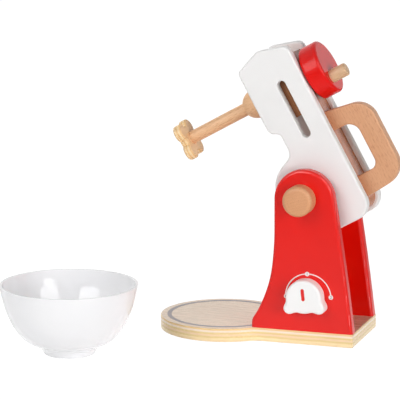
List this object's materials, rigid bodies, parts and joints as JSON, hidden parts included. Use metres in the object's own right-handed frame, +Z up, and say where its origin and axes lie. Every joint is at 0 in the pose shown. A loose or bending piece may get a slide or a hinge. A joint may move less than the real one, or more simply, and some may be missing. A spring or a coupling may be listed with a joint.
{
  "type": "toy stand mixer",
  "caption": "Wooden toy stand mixer: tilting head with a crank-driven beater, carrying handle, turning dial, plywood stand and a loose mixing bowl, shown with the head open.",
  "frame": {"origin": "on the table, below the centre of the board's round bowl platform", "axes": "-X to the front (platform and beater), -Y to the side with the dial, +Z up"},
  "size_m": [0.3288, 0.2576, 0.2708],
  "materials": {
    "plywood": "satin lacquer",
    "red_paint": "satin paint",
    "gloss_red": "gloss paint",
    "white_paint": "satin paint",
    "beech": "satin lacquer",
    "steel": "zinc plated",
    "white_plastic": "gloss"
  },
  "bodies": {
    "base": {"base_board": "plywood", "dial_side_panel": "red_paint", "plain_side_panel": "red_paint", "base_screws": "steel", "stop_dowel": "beech"},
    "head": {"head_plate_dial_side": "white_paint", "head_plate_plain_side": "white_paint", "head_top_rail": "beech", "head_front_block": "beech", "head_rear_block": "beech", "head_dowels": "beech", "handle": "beech", "handle_dowels": "beech", "pivot_axle": "beech", "pivot_knob_dial_side": "beech", "pivot_knob_plain_side": "beech", "pivot_spacers": "beech"},
    "beater": {"crank_disc": "gloss_red", "crank_pin": "beech", "drive_shaft": "beech", "shaft_collar": "beech", "whisk_shaft": "beech", "whisk_head": "beech"},
    "dial": {"dial_knob": "white_paint", "dial_pin": "beech", "dial_retainer": "beech"},
    "bowl": {"bowl": "white_plastic"}
  },
  "joints": [
    {"name": "head_tilt", "type": "hinge", "parent": "base", "child": "head", "pos_m": [0.0854, 0, 0.1336], "axis": [0, 1, 0], "range_deg": [-61, 0]},
    {"name": "beater_spin", "type": "hinge", "parent": "head", "child": "beater", "pos_m": [0.03934, 0, 0.21669], "axis": [0.8746, 0, 0.4848], "continuous": true},
    {"name": "dial_turn", "type": "hinge", "parent": "base", "child": "dial", "pos_m": [0.0913, -0.0433, 0.0441], "axis": [0, -1, 0], "range_deg": [-93, 87]},
    {"name": "bowl_lift", "type": "slide", "parent": "base", "child": "bowl", "axis": [0, 0, 1], "range_m": [0, 0.12]}
  ]
}
